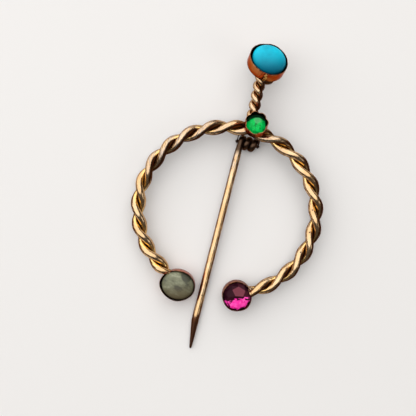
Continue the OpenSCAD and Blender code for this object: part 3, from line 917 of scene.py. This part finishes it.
class BROOCH_OT_settings(bpy.types.Operator):
    """Forms the four thin-walled settings"""

    bl_idname = "brooch.settings"
    bl_label = "Settings"

    def execute(self, context):
        sides = 240
        t = np.arange(sides) / sides
        wall = sizes().wall / MM
        mat = worn_gilt("coppery_gilt", wall_shades(colours()), (8.0, 30.0, 1.0), (0.72, 0.40, 0.34))
        scallops = 7
        scallop = np.abs(np.sin(np.pi * scallops * (t + 0.035)))
        gap = -0.35 * bell(t, 0.345, 0.035)
        notch = -0.45 * bell(t, 0.16, 0.012)
        # The lining is painted black as shade from so many loops past the rim. The next column darkens the
        # rim, and the one after paints the outer wall black as a painted dark reflection. The last two
        # columns are the rim's wave and how far the wall leans in.
        for name, at, size, shade_lining, rim_darkening, wall_dark_reflection, rim, push in (
            ("turquoise_setting", at_turquoise, sizes().turquoise, 1, 0.45, 0.0,
             wave(t, 21, (2, 3, 5, 9), 0.14) + nicks(t, 1, 7, 0.12) + gap, 0.04 + wave(t, 31, (2, 3), 0.05)),
            ("green_setting", at_green, sizes().green, 3, 0.1, 0.0,
             wave(t, 22, (3, 4), 0.08) + 0.22 * scallop - 0.18,
             0.24 - 0.26 * scallop + wave(t, 32, (2, 3), 0.06)),
            ("grey_setting", at_grey, sizes().grey, 1, 0.6, 0.0,
             wave(t, 23, (2, 3, 5, 8), 0.14) + nicks(t, 3, 9, 0.14),
             wave(t, 33, (2, 3, 5), 0.08) - 0.24 * bell(t, 0.5, 0.09)),
            ("purple_setting", at_purple, sizes().purple, 1, 0.5, 0.75,
             wave(t, 24, (2, 4, 7, 11), 0.12) + nicks(t, 5, 9, 0.16) + notch,
             0.03 + wave(t, 34, (2, 3, 5), 0.08)),
        ):
            length, width, height = (v / MM for v in size)
            loops = setting_shell((length / 2, width / 2), height, wall, rim, push)
            z = loops[..., 2]
            from_rim = np.arange(len(loops))[:, None] - len(loops) / 2
            on_rim = (np.abs(from_rim) < 2.6) * (0.5 + wave(2 * t, 51, (3, 8, 13), 0.9))
            low = 0.8 * (1 - smooth_step(z, 0.0, 0.9))
            # Darker towards the foot and along the rim; black inside as painted shade, and on the purple
            # outer wall.
            values = {
                "wear": 0.5 * smooth_step(z, height - 0.5, height - 0.1),
                "under": np.maximum(low, rim_darkening * on_rim),
                "black": np.where(from_rim > shade_lining, 1.0, wall_dark_reflection * (z < height - 0.15)),
            }
            add_metal(name, at(loops), np.arange(len(loops)) / 300, values, mat)
        length, width, height = (v / MM for v in sizes().turquoise)
        seam = at_turquoise(wall_seam((length / 2, width / 2), angle=-76, height=height - 0.3))
        add_metal("turquoise_wall_seam", seam, None, {"groove": 0.6})
        return {"FINISHED"}


class BROOCH_OT_stones(bpy.types.Operator):
    """Seats the two domed stones and the two cut glasses"""

    bl_idname = "brooch.stones"
    bl_label = "Stones"

    def execute(self, context):
        length, width, _ = (v / MM for v in sizes().turquoise)
        blue = dome((length / 2 - 0.50, width / 2 - 0.25), girdle=3.05, top=4.55)
        blue = lay_surface("turquoise_stone", at_turquoise(blue + np.array([0.06, 0.09, 0])))
        length, width, _ = (v / MM for v in sizes().grey)
        grey = dome((length / 2 - 0.24, width / 2 - 0.24), girdle=2.85, top=4.15)
        grey = lay_surface("grey_stone", at_grey(grey))
        r = sizes().green[0] / MM / 2 - 0.28
        green = cut_stone("green_glass", at_green, r, table_r=0.55 * r, crown_h=0.42, girdle_z=1.30)
        r = sizes().purple[0] / MM / 2 - 0.22
        purple = cut_stone(
            "purple_glass", at_purple, r, table_r=(1.3, 1.0), crown_h=0.8, girdle_z=2.65,
            table_off=(0.12, 0.95), n=5, first=0.576)
        for piece, solid, slot, finish in (
            (blue, "turquoise_cabochon", "turquoise", turquoise_stone),
            (grey, "grey_cabochon", "grey_stone", grey_stone),
            (green, "green_paste", "green_glass", green_glass),
            (purple, "purple_paste", "purple_glass", purple_glass),
        ):
            place(piece, "ring", solid, finish(piece.name, colours()))
        return {"FINISHED"}


class BROOCH_OT_pin(bpy.types.Operator):
    """Draws the pin: coil, shank and point in one wire"""

    bl_idname = "brooch.pin"
    bl_label = "Pin"

    def execute(self, context):
        path, run, radius = pin_path()
        path, radius, run = rounded_ends(path, radius, run)
        steady = 1 + wave(np.clip(run, 0, 50) / 50, 31, (5, 9, 17), 0.015)
        from_rod = path * (0, 1, 1) - (0, HINGE_Y, HINGE_Z)
        up = np.where((run < 0)[:, None], from_rod, (0.2, 0.1, 1.0))
        flattened = 1 + 0.14 * smooth_step(-run, 0.0, 1.0)
        loops, _ = tube(path, up, radius * steady, 36, flattened)
        facing = (loops - path[:, None]) / radius[:, None, None]
        grey_neck = smooth_step(run, 1.4, 2.6) * (1 - smooth_step(run, 4.4, 6.4))
        black = 0.95 * (1 - smooth_step(run, 1.5, 2.9)) + 0.5 * smooth_step(run, 34.0, 36.5)
        dark_point = smooth_step(run, 33.8, 35.6)
        # Painted shade: brown on both sides of the pin and underneath; it is also darker towards the point.
        left_side_shade = 0.5 * smooth_step(-facing[..., 0], 0.6, 0.98)
        values = {
            "wear": grey_neck[:, None] * np.clip(0.9 - facing[..., 0], 0.3, 1),
            "under": np.clip(painted_shade(facing, 0.55) + left_side_shade + dark_point[:, None], 0, 1),
            "black": black[:, None],
        }
        add_metal("pin_wire", loops, run / 100, values, solid="brooch_pin", body="pin")
        return {"FINISHED"}


class BROOCH_OT_hinge(bpy.types.Operator):
    """Cuts the two lugs and the rod that the coil turns on"""

    bl_idname = "brooch.hinge"
    bl_label = "Hinge"

    def execute(self, context):
        mat = dark_metal("blackened_metal", colours())
        for name, x in (("left_lug", LEFT_LUG_X), ("right_lug", RIGHT_LUG_X)):
            add_metal(name, lug(x), mat=mat)
        path = np.linspace(*[(x, HINGE_Y, HINGE_Z) for x in ROD_ENDS], 40)
        path, radius, run = rounded_ends(path, np.full(len(path), ROD_R), run_length(path))
        loops, _ = tube(path, np.array([0, 0, 1]), radius, sides=28)
        add_metal("hinge_pivot", loops, run / 100, None, mat, "hinge_rod")
        return {"FINISHED"}


def lug(x, thick=0.22, wide=0.8, reach=2.7, rise=34.0, ease=0.06):
    """A flat tab in the plane across the hinge: a half-round end about the rod and a straight run up to the
    ring, turned by `rise` degrees. Loops shrink by `ease` at both faces, which rounds the edges."""
    a = np.radians(np.linspace(90, 270, 25))
    nose = np.stack([np.cos(a), np.sin(a)], -1) * wide / 2
    outline = np.vstack([nose, np.stack([np.full(9, reach), np.linspace(-wide / 2, wide / 2, 9)], -1)])
    middle = outline.mean(axis=0)
    b = np.radians(np.linspace(10, 90, 5))
    depth = np.concatenate([ease * (1 - np.sin(b)), thick - ease * (1 - np.sin(b))[::-1]])
    inset = np.concatenate([ease * (1 - np.cos(b))[::-1], ease * (1 - np.cos(b))])
    flat = middle + (outline - middle) * (1 - inset[:, None, None] / wide * 2)
    level = np.broadcast_to(depth[:, None, None], (*flat.shape[:2], 1))
    return turned(np.concatenate([level, flat], -1), rise, 0) + np.array([x, HINGE_Y, HINGE_Z])


class BROOCH_OT_stage(bpy.types.Operator):
    """Sets the floor, the lights and the camera"""

    bl_idname = "brooch.stage"
    bl_label = "Stage"

    def execute(self, context):
        scene = context.scene
        mesh = bpy.data.meshes.new("floor")
        reach = 1.5
        corners = [(-reach, -reach, 0), (reach, -reach, 0), (reach, reach, 0), (-reach, reach, 0)]
        mesh.from_pydata(corners, [], [(0, 1, 2, 3)])
        mat, _, _ = new_material("pale_floor", Roughness=0.7, Base_Color=(0.86, 0.84, 0.82, 1))
        mesh.materials.append(mat)
        add_object("floor", mesh)
        add_light("key", (-0.29, 0.25, 0.56), size=1.9, watts=14.5)
        add_light("fill", (0.50, -0.10, 0.40), size=0.30, watts=0.25)
        world = bpy.data.worlds.new("studio")
        world.use_nodes = True
        background = world.node_tree.nodes["Background"]
        background.inputs["Color"].default_value = (1.0, 0.94, 0.88, 1)
        background.inputs["Strength"].default_value = 0.09
        scene.world = world
        scene.view_settings.view_transform = "Standard"
        camera = bpy.data.cameras.new("camera")
        camera.lens = 53.43
        camera.sensor_width = 36
        camera.clip_start = 0.001
        camera.clip_end = 10
        scene.camera = add_object("camera", camera)
        scene.camera.location = CAMERA_AT
        scene.camera.rotation_euler = (0, 0, math.radians(VIEW_TURN))
        return {"FINISHED"}


def add_light(name, at, size, watts):
    """A round soft light that faces the brooch."""
    light = bpy.data.lights.new(name, "AREA")
    light.shape = "DISK"
    light.size = size
    light.energy = watts
    lamp = add_object(name, light)
    lamp.location = at
    x, y, z = at
    lamp.rotation_euler = (math.atan2(math.hypot(x, y), z), 0, math.atan2(x, -y))


class BROOCH_PT_panel(bpy.types.Panel):
    """Lists the brooch's sizes, colours and pieces"""

    bl_label = "Penannular Brooch"
    bl_idname = "BROOCH_PT_panel"
    bl_space_type = "VIEW_3D"
    bl_region_type = "UI"
    bl_category = "Brooch"

    def draw(self, context):
        layout = self.layout
        for group in (context.scene.brooch_sizes, context.scene.brooch_colours):
            box = layout.box()
            for key in group.__annotations__:
                box.prop(group, key)
        for operator in OPERATORS:
            layout.operator(operator.bl_idname)


OPERATORS = (
    BROOCH_OT_ring, BROOCH_OT_stem, BROOCH_OT_settings, BROOCH_OT_stones, BROOCH_OT_pin, BROOCH_OT_hinge,
    BROOCH_OT_stage,
)
CLASSES = (BroochSizes, BroochColours, *OPERATORS, BROOCH_PT_panel)


def register():
    for cls in CLASSES:
        bpy.utils.register_class(cls)
    bpy.types.Scene.brooch_sizes = bpy.props.PointerProperty(type=BroochSizes)
    bpy.types.Scene.brooch_colours = bpy.props.PointerProperty(type=BroochColours)


def unregister():
    del bpy.types.Scene.brooch_colours
    del bpy.types.Scene.brooch_sizes
    for cls in reversed(CLASSES):
        bpy.utils.unregister_class(cls)


def main():
    """Builds every piece in order."""
    register()
    bpy.ops.brooch.ring()
    bpy.ops.brooch.stem()
    bpy.ops.brooch.settings()
    bpy.ops.brooch.stones()
    bpy.ops.brooch.pin()
    bpy.ops.brooch.hinge()
    bpy.ops.brooch.stage()
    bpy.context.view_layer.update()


if __name__ == "__main__":
    main()
